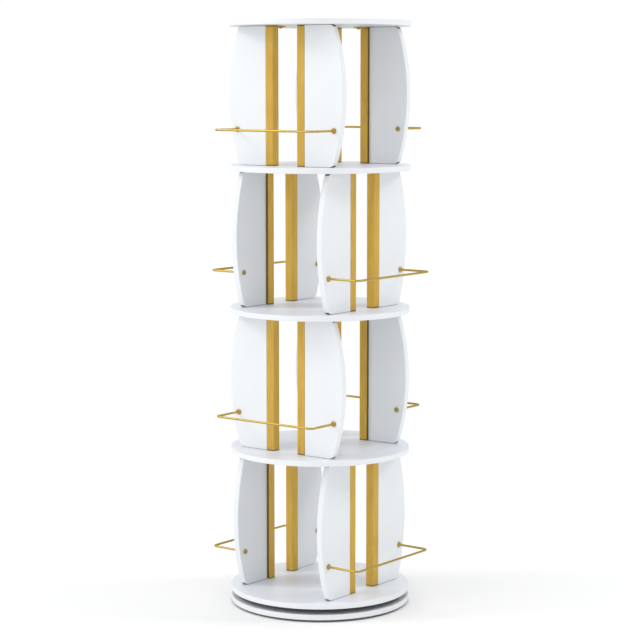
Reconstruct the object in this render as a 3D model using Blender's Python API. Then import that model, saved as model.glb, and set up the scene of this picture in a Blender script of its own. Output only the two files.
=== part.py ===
"""Revolving bookcase with four tiers.

Each tier stands between two round shelves and has two parallel screens. A screen is a pair of
half boards with a square post at each board's inner edge and a gap between the posts. A U-shaped
rail stands out from each screen. Neighbouring tiers are turned by a quarter turn. Everything over
the base plate turns on a ball bearing about the vertical axis.

Metres, +Z up. The origin is on the floor, on the axis of the bearing.
"""

import math

import bmesh
import bpy
from mathutils import Matrix, Vector

# Clearances
FIT_GAP = 0.0003
RUNNING_GAP = 0.0004

# Round shelves and base plate
DISC_RADIUS = 0.200
SHELF_THICKNESS = 0.012
BASE_PLATE_THICKNESS = 0.012
DISC_EDGE_CHAMFER = 0.0012
SHELF_NAMES = ("base_shelf", "lower_shelf", "middle_shelf", "upper_shelf", "top_panel")

# Tiers
TIER_CLEAR_HEIGHT = 0.302
SCREEN_FACE_OFFSET = 0.1244

# Half boards
BOARD_THICKNESS = 0.014
BOARD_RIM_INSET = 0.0002
BOARD_BULGE = 0.0276
BOARD_CORNER_RADIUS = 0.012
BOARD_EDGE_CHAMFER = 0.001
BULGE_STEPS = 10
CORNER_STEPS = 3

# Posts
POST_WIDTH = 0.020
POST_DEPTH = 0.020
POST_SPACING = 0.0656
POST_EDGE_CHAMFER = 0.001

# Tabs of the top tier's posts, screwed up into the top panel
TAB_WIDTH = 0.016
TAB_LENGTH = 0.030
TAB_CORNER = 0.004
TAB_OVERLAP = 0.001
TAB_ROOT_THICKNESS = 0.0042
TAB_END_THICKNESS = 0.0026
TAB_DROP = 0.0002
TAB_SCREW_INSET = 0.010
TAB_SCREW_RADIUS = 0.0015
TAB_SCREW_HEAD_RADIUS = 0.0035
TAB_SCREW_HEAD_HEIGHT = 0.0018

# Dowels in the boards' ends and studs in the posts' ends
DOWEL_RADIUS = 0.003
STUD_RADIUS = 0.003
PIN_SKIN = 0.004

# Rails
ROD_RADIUS = 0.0025
RAIL_HEIGHT = 0.0781
RAIL_STANDOFF = 0.0788
RAIL_BEND_RADIUS = 0.011
RAIL_LEG_INSET = 0.0237
RAIL_STUD_RADIUS = 0.002
COLLAR_RADIUS = 0.0064
COLLAR_FLANGE = 0.0018
COLLAR_NECK = 0.0030
CAP_RADIUS = 0.0055
CAP_THICKNESS = 0.003
CAP_CHAMFER = 0.0008

# Ball bearing between the base plate and the base shelf
BEARING_HEIGHT = 0.012
TRACK_RADIUS = 0.090
RACE_FLANGE = 0.020
RACE_LIP = 0.008
BALL_RADIUS = 0.0025
BALL_COUNT = 8
CAGE_THICKNESS = 0.001
CAGE_HALF_WIDTH = 0.006
GROOVE_MARGIN = 0.0013

# Screws of the bearing
SCREW_COUNT = 3
SCREW_SHANK_RADIUS = 0.0018
SCREW_HEAD_RADIUS = 0.0036
SCREW_HEAD_HEIGHT = 0.0020
SHELF_SCREW_BITE = 0.007
BASE_SCREW_BITE = 0.003

# Feet
FOOT_COUNT = 4
FOOT_HEIGHT = 0.005
FOOT_RADIUS = 0.014
FOOT_RIM_INSET = 0.030
FOOT_CHAMFER = 0.0006
FOOT_PEG_RADIUS = 0.003
FOOT_PEG_LENGTH = 0.008

# Facets of round shapes
DISC_FACETS = 64
RACE_FACETS = 32
ROD_FACETS = 8
PIN_FACETS = 6
SCREW_FACETS = 8
FOOT_FACETS = 16
BEND_STEPS = 3
CUT_OVERSHOOT = 0.002
SHARP_ANGLE = math.radians(35)
WELD_DISTANCE = 1e-6

# Heights worked out from the sizes above
BASE_PLATE_TOP = FOOT_HEIGHT + BASE_PLATE_THICKNESS
BASE_SHELF_BOTTOM = BASE_PLATE_TOP + BEARING_HEIGHT
TIER_PITCH = SHELF_THICKNESS + TIER_CLEAR_HEIGHT
TIER_COUNT = len(SHELF_NAMES) - 1
UPRIGHT_HEIGHT = TIER_CLEAR_HEIGHT - 2 * FIT_GAP
PIN_LENGTH = SHELF_THICKNESS - PIN_SKIN

# Places in a screen, measured from its middle along its face
POST_CENTRE = POST_SPACING / 2 + POST_WIDTH / 2
BOARD_INNER_EDGE = POST_SPACING / 2 + POST_WIDTH + FIT_GAP
BOARD_REACH = math.sqrt((DISC_RADIUS - BOARD_RIM_INSET) ** 2 - SCREEN_FACE_OFFSET**2)
BOARD_END_REACH = BOARD_REACH - BOARD_BULGE
DOWEL_CENTRE = (BOARD_INNER_EDGE + BOARD_END_REACH) / 2
RAIL_LEG_CENTRE = BOARD_REACH - RAIL_LEG_INSET

# Places in a screen, measured from the axis
BOARD_MIDDLE_OFFSET = SCREEN_FACE_OFFSET - BOARD_THICKNESS / 2
POST_MIDDLE_OFFSET = SCREEN_FACE_OFFSET - POST_DEPTH / 2

# Places on a tab, measured outwards from its post's middle
TAB_ROOT = POST_EDGE_CHAMFER + TAB_OVERLAP - POST_DEPTH / 2
TAB_TIP = -POST_DEPTH / 2 - TAB_LENGTH
TAB_SCREW_PLACE = TAB_TIP + TAB_SCREW_INSET

# Bearing, worked out from the sizes above
BALL_HEIGHT = BASE_PLATE_TOP + BEARING_HEIGHT / 2
RACE_GAP = CAGE_THICKNESS + 2 * FIT_GAP
RACE_THICKNESS = (BEARING_HEIGHT - RACE_GAP) / 2 - FIT_GAP

SIDE_NAMES = ("right", "back", "left", "front")
QUARTER = math.pi / 2


def clear_scene():
    for obj in list(bpy.data.objects):
        bpy.data.objects.remove(obj, do_unlink=True)


def material(name, colour, roughness, metallic):
    made = bpy.data.materials.new(name)
    made.use_nodes = True
    made.diffuse_color = (*colour, 1.0)
    shader = made.node_tree.nodes["Principled BSDF"]
    shader.inputs["Base Color"].default_value = (*colour, 1.0)
    shader.inputs["Roughness"].default_value = roughness
    shader.inputs["Metallic"].default_value = metallic
    return made


def mesh_from(bm, name):
    bmesh.ops.recalc_face_normals(bm, faces=bm.faces)
    mesh = bpy.data.meshes.new(name)
    bm.to_mesh(mesh)
    bm.free()
    return mesh


def place(name, mesh, finish, parent=None, location=(0.0, 0.0, 0.0), turn=0.0):
    obj = bpy.data.objects.new(name, mesh)
    bpy.context.scene.collection.objects.link(obj)
    obj.location = location
    obj.rotation_euler.z = turn
    obj.parent = parent
    if finish and not mesh.materials:
        mesh.materials.append(finish)
    return obj


def axis_empty(name):
    empty = bpy.data.objects.new(name, None)
    bpy.context.scene.collection.objects.link(empty)
    return empty


def helper(name, mesh):
    """A cutter or an addition for a Boolean, which isn't itself part of the bookcase."""
    obj = place(name, mesh, None)
    obj.hide_render = True
    obj.display_type = "WIRE"
    return obj


def combine(obj, other, operation):
    boolean = obj.modifiers.new(operation.title(), "BOOLEAN")
    boolean.operation = operation
    boolean.solver = "EXACT"
    boolean.object = other


def applied(obj):
    """The object's mesh with its modifiers applied, shaded smooth between sharp edges."""
    bpy.context.view_layer.update()
    graph = bpy.context.evaluated_depsgraph_get()
    mesh = bpy.data.meshes.new_from_object(obj.evaluated_get(graph))
    mesh.name = obj.name
    bpy.data.objects.remove(obj, do_unlink=True)
    shade(mesh)
    return mesh


def shade(mesh):
    mesh.shade_smooth()
    mesh.set_sharp_from_angle(angle=SHARP_ANGLE)
    return mesh


def turned(name, profile, facets, ring=False):
    """A shape turned about Z from (radius, height) points: a ring, or a solid closed at both ends."""
    bm = bmesh.new()
    verts = [bm.verts.new((radius, 0.0, height)) for radius, height in profile]
    following = verts[1:] + verts[:1] if ring else verts[1:]
    edges = [bm.edges.new(pair) for pair in zip(verts, following)]
    bmesh.ops.spin(
        bm, geom=verts + edges, axis=(0, 0, 1), angle=2 * math.pi, steps=facets, use_merge=True
    )
    bmesh.ops.remove_doubles(bm, verts=bm.verts, dist=WELD_DISTANCE)
    if not ring:
        bmesh.ops.holes_fill(bm, edges=[edge for edge in bm.edges if edge.is_boundary])
    return mesh_from(bm, name)


def add_pin(bm, spot, low, high, radius, turn=0.0):
    """A plain round pin along Z between two heights."""
    middle = Matrix.Translation((spot.x, spot.y, (low + high) / 2))
    bmesh.ops.create_cone(
        bm,
        cap_ends=True,
        segments=PIN_FACETS,
        radius1=radius,
        radius2=radius,
        depth=high - low,
        matrix=middle @ Matrix.Rotation(turn, 4, "Z"),
    )


def polar(radius, angle, height=0.0):
    return Vector((radius * math.cos(angle), radius * math.sin(angle), height))


# Tiers and screens


def tier_floor(tier):
    """Height of the shelf surface that a tier stands on."""
    return BASE_SHELF_BOTTOM + SHELF_THICKNESS + tier * TIER_PITCH


def screen_sides(tier):
    """Quarter turns of a tier's two screens: neighbouring tiers are a quarter turn apart."""
    return (tier % 2, tier % 2 + 2)


def on_screen(side, offset, along, height=0.0):
    """A point given by its distance from the axis and its place along a screen."""
    return Matrix.Rotation(side * QUARTER, 4, "Z") @ Vector((offset, along, height))


def half_name(side, half):
    return SIDE_NAMES[(side + half) % 4]


def pin_spots(tier):
    """Where the pins of a tier's boards and posts enter a shelf, with their radii and turns."""
    spots = []
    for side in screen_sides(tier):
        for half in (1, -1):
            dowel = on_screen(side, BOARD_MIDDLE_OFFSET, half * DOWEL_CENTRE)
            stud = on_screen(side, POST_MIDDLE_OFFSET, half * POST_CENTRE)
            turn = side * QUARTER
            spots += [(dowel, DOWEL_RADIUS, turn), (stud, STUD_RADIUS, turn)]
    return spots


def tab_screw_spots():
    """Where the screws of the top tier's tabs enter the top panel, with their turns."""
    for side in screen_sides(TIER_COUNT - 1):
        for half in (1, -1):
            offset = POST_MIDDLE_OFFSET + TAB_SCREW_PLACE
            yield on_screen(side, offset, half * POST_CENTRE), side * QUARTER


# Half boards and posts


def add_end_pins(upright, along, radius):
    """Joins a pin to both ends of an upright piece, for the holes in the shelves."""
    bm = bmesh.new()
    spot = Vector((0.0, along, 0.0))
    add_pin(bm, spot, UPRIGHT_HEIGHT - PIN_LENGTH, UPRIGHT_HEIGHT + PIN_LENGTH, radius)
    add_pin(bm, spot, -PIN_LENGTH, PIN_LENGTH, radius)
    pins = helper(upright.name + "_pins", mesh_from(bm, "pins"))
    combine(upright, pins, "UNION")


def bulge_points():
    """The board's outer edge from bottom to top: a wide arc with a rounded corner at each end."""
    half = UPRIGHT_HEIGHT / 2
    radius = (half**2 + BOARD_BULGE**2) / (2 * BOARD_BULGE)
    centre = BOARD_REACH - radius
    rise = half - BOARD_CORNER_RADIUS
    corner = centre + math.sqrt((radius - BOARD_CORNER_RADIUS) ** 2 - rise**2)
    reach = math.atan2(rise, corner - centre)
    lower = []
    for step in range(CORNER_STEPS):
        angle = (QUARTER - reach) * step / CORNER_STEPS - QUARTER
        across = corner + BOARD_CORNER_RADIUS * math.cos(angle)
        lower.append((across, BOARD_CORNER_RADIUS * (1 + math.sin(angle))))
    middle = []
    for step in range(BULGE_STEPS + 1):
        angle = reach * (2 * step / BULGE_STEPS - 1)
        middle.append((centre + radius * math.cos(angle), half + radius * math.sin(angle)))
    upper = [(across, UPRIGHT_HEIGHT - up) for across, up in reversed(lower)]
    return [*lower, *middle, *upper]


def chamfer(obj, width):
    bevel = obj.modifiers.new("Chamfer", "BEVEL")
    bevel.width = width
    bevel.segments = 1
    bevel.limit_method = "ANGLE"
    bevel.angle_limit = SHARP_ANGLE
    bevel.use_clamp_overlap = False


def board_mesh(finish):
    """A half board with its dowels, centred on its thickness, on the +Y half of a screen."""
    bm = bmesh.new()
    outline = [(BOARD_INNER_EDGE, 0.0), *bulge_points(), (BOARD_INNER_EDGE, UPRIGHT_HEIGHT)]
    face = bm.faces.new([bm.verts.new((-BOARD_THICKNESS / 2, y, z)) for y, z in outline])
    solid = bmesh.ops.extrude_face_region(bm, geom=[face])
    moved = [item for item in solid["geom"] if isinstance(item, bmesh.types.BMVert)]
    bmesh.ops.translate(bm, verts=moved, vec=(BOARD_THICKNESS, 0, 0))
    board = place("board", mesh_from(bm, "board"), finish)
    chamfer(board, BOARD_EDGE_CHAMFER)
    add_end_pins(board, DOWEL_CENTRE, DOWEL_RADIUS)
    bm = bmesh.new()
    bmesh.ops.create_cone(
        bm,
        cap_ends=True,
        segments=ROD_FACETS,
        radius1=RAIL_STUD_RADIUS + FIT_GAP,
        radius2=RAIL_STUD_RADIUS + FIT_GAP,
        depth=BOARD_THICKNESS + 2 * CUT_OVERSHOOT,
        matrix=Matrix.Translation((0, RAIL_LEG_CENTRE, RAIL_HEIGHT - FIT_GAP))
        @ Matrix.Rotation(QUARTER, 4, "Y"),
    )
    combine(board, helper("rail_hole", mesh_from(bm, "rail_hole")), "DIFFERENCE")
    return applied(board)


def post_mesh(finish, tabbed=False):
    """A square post with its studs, centred on its axis, and with a tab at its top if tabbed."""
    bm = bmesh.new()
    bmesh.ops.create_cube(bm, size=1.0)
    bmesh.ops.scale(bm, verts=bm.verts, vec=(POST_DEPTH, POST_WIDTH, UPRIGHT_HEIGHT))
    bmesh.ops.translate(bm, verts=bm.verts, vec=(0, 0, UPRIGHT_HEIGHT / 2))
    post = place("post", mesh_from(bm, "post"), finish)
    chamfer(post, POST_EDGE_CHAMFER)
    add_end_pins(post, 0.0, STUD_RADIUS)
    if tabbed:
        add_tab(post)
    return applied(post)


def tab_underside(across):
    """Height of a tab's underside, which slopes up to its tip."""
    share = (across - TAB_TIP) / (TAB_ROOT - TAB_TIP)
    thickness = TAB_END_THICKNESS + share * (TAB_ROOT_THICKNESS - TAB_END_THICKNESS)
    return UPRIGHT_HEIGHT - TAB_DROP - thickness


def add_tab(post):
    """Joins a tab to a post's top, on the side of the bookcase's axis, and its screw to the tab."""
    half = TAB_WIDTH / 2
    plan = [
        (TAB_ROOT, half),
        (TAB_TIP + TAB_CORNER, half),
        (TAB_TIP, half - TAB_CORNER),
        (TAB_TIP, TAB_CORNER - half),
        (TAB_TIP + TAB_CORNER, -half),
        (TAB_ROOT, -half),
    ]
    bm = bmesh.new()
    upper = [bm.verts.new((x, y, UPRIGHT_HEIGHT - TAB_DROP)) for x, y in plan]
    lower = [bm.verts.new((x, y, tab_underside(x))) for x, y in plan]
    bm.faces.new(upper)
    bm.faces.new(lower)
    for index, _ in enumerate(plan):
        after = (index + 1) % len(plan)
        bm.faces.new((upper[index], upper[after], lower[after], lower[index]))
    combine(post, helper("tab", mesh_from(bm, "tab")), "UNION")
    spot = Vector((TAB_SCREW_PLACE, 0.0, 0.0))
    underside = tab_underside(TAB_SCREW_PLACE)
    head_face = underside - TAB_SCREW_HEAD_HEIGHT
    for name, low, high, radius in (
        ("tab_shank", underside, UPRIGHT_HEIGHT + PIN_LENGTH, TAB_SCREW_RADIUS),
        ("tab_head", head_face, underside + TAB_END_THICKNESS / 2, TAB_SCREW_HEAD_RADIUS),
    ):
        bm = bmesh.new()
        add_pin(bm, spot, low, high, radius)
        combine(post, helper(name, mesh_from(bm, name)), "UNION")


def add_uprights(parent, board, post, tabbed_post):
    for tier in range(TIER_COUNT):
        foot = tier_floor(tier) + FIT_GAP
        for side in screen_sides(tier):
            for half in (1, -1):
                name = f"{tier + 1}_{SIDE_NAMES[side]}_{half_name(side, half)}"
                facing = side * QUARTER
                turn = facing + (0 if half == 1 else math.pi)
                upright = tabbed_post if tier == TIER_COUNT - 1 else post
                board_place = on_screen(side, BOARD_MIDDLE_OFFSET, 0.0, foot)
                post_place = on_screen(side, POST_MIDDLE_OFFSET, half * POST_CENTRE, foot)
                place("board_" + name, board, None, parent, board_place, turn)
                place("post_" + name, upright, None, parent, post_place, facing)


# Rails


def leg_stations():
    """(distance from the axis, radius) along a rail's leg, from its cap screw to its bend."""
    inner_face = SCREEN_FACE_OFFSET - BOARD_THICKNESS - FIT_GAP
    outer_face = SCREEN_FACE_OFFSET + FIT_GAP
    cap_end = inner_face - CAP_THICKNESS
    return [
        (cap_end, CAP_RADIUS - CAP_CHAMFER),
        (cap_end + CAP_CHAMFER, CAP_RADIUS),
        (inner_face, CAP_RADIUS),
        (inner_face, RAIL_STUD_RADIUS),
        (outer_face, RAIL_STUD_RADIUS),
        (outer_face, COLLAR_RADIUS),
        (outer_face + COLLAR_FLANGE, COLLAR_RADIUS),
        (outer_face + COLLAR_FLANGE + COLLAR_NECK, ROD_RADIUS),
    ]


def rail_stations():
    """(place, direction, radius) along the whole rail, in the plane of its rod."""
    half = [(Vector((x, RAIL_LEG_CENTRE, 0)), Vector((1, 0, 0)), r) for x, r in leg_stations()]
    rod_offset = SCREEN_FACE_OFFSET + RAIL_STANDOFF
    bend_centre = Vector((rod_offset - RAIL_BEND_RADIUS, RAIL_LEG_CENTRE - RAIL_BEND_RADIUS, 0))
    for step in range(BEND_STEPS + 1):
        angle = QUARTER * (1 - step / BEND_STEPS)
        outward = polar(1.0, angle)
        along = Vector((outward.y, -outward.x, 0))
        half.append((bend_centre + RAIL_BEND_RADIUS * outward, along, ROD_RADIUS))
    mirrored = [
        (Vector((spot.x, -spot.y, 0)), Vector((-along.x, along.y, 0)), radius)
        for spot, along, radius in reversed(half)
    ]
    return half + mirrored


def rail_mesh(finish):
    """A U-shaped rod with its collars, its studs through the boards and its cap screws."""
    bm = bmesh.new()
    rings = []
    for spot, along, radius in rail_stations():
        beside = Vector((-along.y, along.x, 0))
        turns = (2 * math.pi * facet / ROD_FACETS for facet in range(ROD_FACETS))
        rim = (
            spot + radius * (math.cos(turn) * beside + math.sin(turn) * Vector((0, 0, 1)))
            for turn in turns
        )
        rings.append([bm.verts.new(point) for point in rim])
    for ring, following in zip(rings, rings[1:]):
        for facet in range(ROD_FACETS):
            beyond = (facet + 1) % ROD_FACETS
            bm.faces.new((ring[facet], ring[beyond], following[beyond], following[facet]))
    bm.faces.new(rings[0])
    bm.faces.new(rings[-1])
    mesh = shade(mesh_from(bm, "rail"))
    mesh.materials.append(finish)
    return mesh


def add_rails(parent, finish):
    rail = rail_mesh(finish)
    for tier in range(TIER_COUNT):
        height = tier_floor(tier) + RAIL_HEIGHT
        for side in screen_sides(tier):
            name = f"rail_{tier + 1}_{SIDE_NAMES[side]}"
            place(name, rail, None, parent, (0, 0, height), side * QUARTER)


# Round shelves and base plate


def disc(name, thickness, finish, parent, bottom):
    inner = DISC_RADIUS - DISC_EDGE_CHAMFER
    profile = [
        (inner, 0.0),
        (DISC_RADIUS, DISC_EDGE_CHAMFER),
        (DISC_RADIUS, thickness - DISC_EDGE_CHAMFER),
        (inner, thickness),
    ]
    mesh = shade(turned(name, profile, DISC_FACETS))
    return place(name, mesh, finish, parent, (0, 0, bottom))


def add_shelves(parent, finish):
    """The shelves with the holes for the pins of the tiers below and above. Returns the base shelf."""
    shelves = []
    for level, name in enumerate(SHELF_NAMES):
        bottom = BASE_SHELF_BOTTOM + level * TIER_PITCH
        top = bottom + SHELF_THICKNESS
        shelf = disc(name, SHELF_THICKNESS, finish, parent, bottom)
        holes = bmesh.new()
        if level > 0:
            for spot, radius, turn in pin_spots(level - 1):
                low, high = bottom - CUT_OVERSHOOT, bottom + PIN_LENGTH
                add_pin(holes, spot, low, high, radius + FIT_GAP, turn)
        if level < TIER_COUNT:
            for spot, radius, turn in pin_spots(level):
                low, high = top - PIN_LENGTH, top + CUT_OVERSHOOT
                add_pin(holes, spot, low, high, radius + FIT_GAP, turn)
        else:
            for spot, turn in tab_screw_spots():
                low, high = bottom - CUT_OVERSHOOT, bottom + PIN_LENGTH
                add_pin(holes, spot, low, high, TAB_SCREW_RADIUS + FIT_GAP, turn)
        combine(shelf, helper(name + "_holes", mesh_from(holes, name + "_holes")), "DIFFERENCE")
        shelves.append(shelf)
    return shelves[0]


# Ball bearing


def race_profile(inner, outer, back, front):
    """Section of a race: a flat ring with a groove for the balls in its front face."""
    into = math.copysign(1.0, back - front)
    mouth = BALL_RADIUS + GROOVE_MARGIN
    bed = mouth / 2
    bed_height = BALL_HEIGHT + into * (BALL_RADIUS + RUNNING_GAP)
    return [
        (inner, back),
        (outer, back),
        (outer, front),
        (TRACK_RADIUS + mouth, front),
        (TRACK_RADIUS + bed, bed_height),
        (TRACK_RADIUS - bed, bed_height),
        (TRACK_RADIUS - mouth, front),
        (inner, front),
    ]


def add_races(base, carousel, steel):
    """The lower race has its screw flange inside the track, the upper race outside it."""
    low = BASE_PLATE_TOP + FIT_GAP
    high = BASE_SHELF_BOTTOM - FIT_GAP
    section = race_profile(
        TRACK_RADIUS - RACE_FLANGE, TRACK_RADIUS + RACE_LIP, low, low + RACE_THICKNESS
    )
    lower = place(
        "lower_race", shade(turned("lower_race", section, RACE_FACETS, True)), steel, base
    )
    section = race_profile(
        TRACK_RADIUS - RACE_LIP, TRACK_RADIUS + RACE_FLANGE, high, high - RACE_THICKNESS
    )
    upper = place(
        "upper_race", shade(turned("upper_race", section, RACE_FACETS, True)), steel, carousel
    )
    return lower, upper


def add_ball_cage(finish):
    """A flat ring that holds the balls, made as one piece with them."""
    half = CAGE_THICKNESS / 2
    inner = TRACK_RADIUS - CAGE_HALF_WIDTH
    outer = TRACK_RADIUS + CAGE_HALF_WIDTH
    section = [(inner, -half), (outer, -half), (outer, half), (inner, half)]
    cage = place("cage", turned("cage", section, RACE_FACETS, True), finish)
    bm = bmesh.new()
    for ball in range(BALL_COUNT):
        spot = polar(TRACK_RADIUS, 2 * math.pi * ball / BALL_COUNT)
        bmesh.ops.create_icosphere(
            bm, subdivisions=2, radius=BALL_RADIUS, matrix=Matrix.Translation(spot)
        )
    combine(cage, helper("balls", mesh_from(bm, "balls")), "UNION")
    return place("ball_cage", applied(cage), finish, None, (0, 0, BALL_HEIGHT))


def screw_profile(length):
    """A countersunk screw that points up, with its head's face at height 0."""
    return [
        (SCREW_HEAD_RADIUS, 0.0),
        (SCREW_SHANK_RADIUS, SCREW_HEAD_HEIGHT),
        (SCREW_SHANK_RADIUS, length),
    ]


def screw_hole_profile(length):
    """The same screw grown by the fit gap and carried on past the face of its head."""
    head = SCREW_HEAD_RADIUS + FIT_GAP
    shank = SCREW_SHANK_RADIUS + FIT_GAP
    return [
        (head, -CUT_OVERSHOOT),
        (head, 0.0),
        (shank, SCREW_HEAD_HEIGHT),
        (shank, length + FIT_GAP),
    ]


def add_screws(name, radius, height, length, bored, finish, parent):
    """Screws in a circle, and their holes in each of the bored pieces."""
    screw = shade(turned(name, screw_profile(length), SCREW_FACETS))
    bm = bmesh.new()
    for index in range(SCREW_COUNT):
        spot = polar(radius, 2 * math.pi * index / SCREW_COUNT, height)
        place(f"{name}_{index + 1}", screw, finish, parent, spot)
        hole = turned("screw_hole", screw_hole_profile(length), SCREW_FACETS)
        hole.transform(Matrix.Translation(spot))
        bm.from_mesh(hole)
    holes = helper(name + "_holes", mesh_from(bm, name + "_holes"))
    for piece in bored:
        combine(piece, holes, "DIFFERENCE")


# Feet


def add_feet(base_plate, finish, parent):
    """Round glides, each with a peg in the underside of the base plate."""
    shoulder = FOOT_HEIGHT - FIT_GAP
    tip = shoulder + FOOT_PEG_LENGTH
    profile = [
        (FOOT_RADIUS - FOOT_CHAMFER, 0.0),
        (FOOT_RADIUS, FOOT_CHAMFER),
        (FOOT_RADIUS, shoulder),
        (FOOT_PEG_RADIUS, shoulder),
        (FOOT_PEG_RADIUS, tip),
    ]
    foot = shade(turned("foot", profile, FOOT_FACETS))
    bm = bmesh.new()
    for index in range(FOOT_COUNT):
        angle = 2 * math.pi * (index + 0.5) / FOOT_COUNT
        spot = polar(DISC_RADIUS - FOOT_RIM_INSET, angle)
        place(f"foot_{index + 1}", foot, finish, parent, spot)
        hole_radius = FOOT_PEG_RADIUS + FIT_GAP
        bmesh.ops.create_cone(
            bm,
            cap_ends=True,
            segments=FOOT_FACETS,
            radius1=hole_radius,
            radius2=hole_radius,
            depth=tip + FIT_GAP,
            matrix=Matrix.Translation((spot.x, spot.y, (tip + FIT_GAP) / 2)),
        )
    combine(base_plate, helper("foot_holes", mesh_from(bm, "foot_holes")), "DIFFERENCE")


def build():
    clear_scene()
    white = material("white_lacquer", (0.87, 0.87, 0.86), 0.45, 0.0)
    gold_wood = material("gold_lacquer", (0.58, 0.38, 0.12), 0.40, 0.35)
    gold_metal = material("gold_metal", (0.66, 0.44, 0.14), 0.28, 1.0)
    steel = material("bearing_steel", (0.50, 0.51, 0.52), 0.35, 1.0)
    dark_steel = material("dark_steel", (0.10, 0.10, 0.11), 0.50, 0.9)
    rubber = material("black_rubber", (0.03, 0.03, 0.03), 0.80, 0.0)

    base = axis_empty("base_axis")
    carousel = axis_empty("carousel_axis")

    base_plate = disc("base_plate", BASE_PLATE_THICKNESS, white, base, FOOT_HEIGHT)
    add_feet(base_plate, rubber, base)
    base_shelf = add_shelves(carousel, white)
    tabbed_post = post_mesh(gold_wood, tabbed=True)
    add_uprights(carousel, board_mesh(white), post_mesh(gold_wood), tabbed_post)
    add_rails(carousel, gold_metal)

    lower_race, upper_race = add_races(base, carousel, steel)
    add_ball_cage(dark_steel)
    add_screws(
        "base_screw",
        TRACK_RADIUS - (RACE_FLANGE + CAGE_HALF_WIDTH) / 2,
        FOOT_HEIGHT,
        BASE_PLATE_THICKNESS + FIT_GAP + BASE_SCREW_BITE,
        (base_plate, lower_race),
        dark_steel,
        base,
    )
    add_screws(
        "shelf_screw",
        TRACK_RADIUS + (RACE_FLANGE + CAGE_HALF_WIDTH) / 2,
        BASE_SHELF_BOTTOM - FIT_GAP - RACE_THICKNESS,
        RACE_THICKNESS + FIT_GAP + SHELF_SCREW_BITE,
        (upper_race, base_shelf),
        dark_steel,
        carousel,
    )


if __name__ == "__main__":
    build()
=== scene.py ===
import math

import bmesh
import bpy
from mathutils import Matrix, Vector


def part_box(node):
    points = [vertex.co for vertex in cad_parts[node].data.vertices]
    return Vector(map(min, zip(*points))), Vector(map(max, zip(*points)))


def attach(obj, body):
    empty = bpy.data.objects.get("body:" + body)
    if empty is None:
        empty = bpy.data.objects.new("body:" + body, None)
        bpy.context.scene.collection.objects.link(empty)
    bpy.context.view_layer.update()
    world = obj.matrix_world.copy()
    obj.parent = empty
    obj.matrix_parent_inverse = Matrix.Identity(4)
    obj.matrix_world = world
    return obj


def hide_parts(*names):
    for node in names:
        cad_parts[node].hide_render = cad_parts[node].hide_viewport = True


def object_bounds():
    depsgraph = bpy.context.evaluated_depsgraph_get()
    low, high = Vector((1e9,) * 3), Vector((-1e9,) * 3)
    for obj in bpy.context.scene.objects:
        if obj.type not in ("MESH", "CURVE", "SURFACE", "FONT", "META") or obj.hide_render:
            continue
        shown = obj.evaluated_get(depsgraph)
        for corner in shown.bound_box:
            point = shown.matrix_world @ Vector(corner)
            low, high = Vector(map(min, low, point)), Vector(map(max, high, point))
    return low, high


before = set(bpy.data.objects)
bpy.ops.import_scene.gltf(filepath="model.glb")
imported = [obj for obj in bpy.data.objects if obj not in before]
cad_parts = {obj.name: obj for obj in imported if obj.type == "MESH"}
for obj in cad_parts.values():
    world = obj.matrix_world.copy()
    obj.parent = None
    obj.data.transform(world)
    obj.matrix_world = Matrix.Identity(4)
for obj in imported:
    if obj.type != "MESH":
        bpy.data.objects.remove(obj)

bl_info = {
    "name": "Revolving bookcase",
    "version": (1, 0, 0),
    "blender": (4, 5, 0),
    "location": "View3D > Sidebar > Bookcase",
    "description": "Makes a round revolving bookcase of white boards with gold posts and rails",
    "category": "Object",
}

CAD_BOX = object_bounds()

SHELF_NODES = ("base_shelf", "lower_shelf", "middle_shelf", "upper_shelf", "top_panel")
SIDE_NAMES = ("right", "back", "left", "front")
TIER_COUNT = len(SHELF_NODES) - 1
QUARTER = math.pi / 2

SHELF_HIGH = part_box("top_panel")[1]
BOARD_LOW, BOARD_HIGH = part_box("board_1_right_back")
POST_LOW, POST_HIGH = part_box("post_1_right_back")
RAIL_LOW, RAIL_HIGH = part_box("rail_1_right")
CAGE_LOW, CAGE_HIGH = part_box("ball_cage")
FOOT_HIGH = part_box("foot_1")[1]

# How finely round shapes are drawn
RIM_STEPS = 256
RACE_STEPS = 128
TURNED_STEPS = 48
ROD_STEPS = 24
ROUNDING_STEPS = 5
CORNER_STEPS = 7
RACE_ROUNDING_STEPS = 3
BULGE_STEPS = 56
BEND_STEPS = 10
BALL_STEPS = 32
BALL_RINGS = 16
SHARP_ANGLE = math.radians(32)
CUT_OVERSHOOT = 0.001

# Counts that the CAD has too
BALL_COUNT = 8
SCREW_COUNT = 3
FOOT_COUNT = 4

SOCKET_SIDES = 6

# How squarely a face must look a way to count as looking there
FLAT_FACING = 0.999
SIDE_FACING = 0.9
END_FACING = 0.7

# Fine roundings, depths and gaps that nobody needs to set, in metres
TIP_CHAMFER = 0.0004
LONG_TIP_CHAMFER = 0.0006
TAB_EDGE = 0.0004
TAB_HEAD_GAP = 0.0001
TAB_HOLE_REACH = 0.01
DOME_EDGE = 0.0001
TAB_SOCKET_DEPTH = 0.0011
COLLAR_FACE_EDGE = 0.0004
COLLAR_RIM_EDGE = 0.0007
COLLAR_STEP = 0.0009
COLLAR_STEP_EDGE = 0.0006
COLLAR_NECK_EDGE = 0.0012
CAP_DISH_DEPTH = 0.0003
CAP_BACK_EDGE = 0.0002
RACE_EDGE = 0.0006
GROOVE_EDGE = 0.0003
GROOVE_MARGIN = 0.0013
BED_GAP = 0.0004
POCKET_GAP = 0.00015
HEAD_RIM = 0.0002
SCREW_SOCKET_DEPTH = 0.0014
SOLE_EDGE = 0.0009
SHOULDER_EDGE = 0.0003

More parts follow.
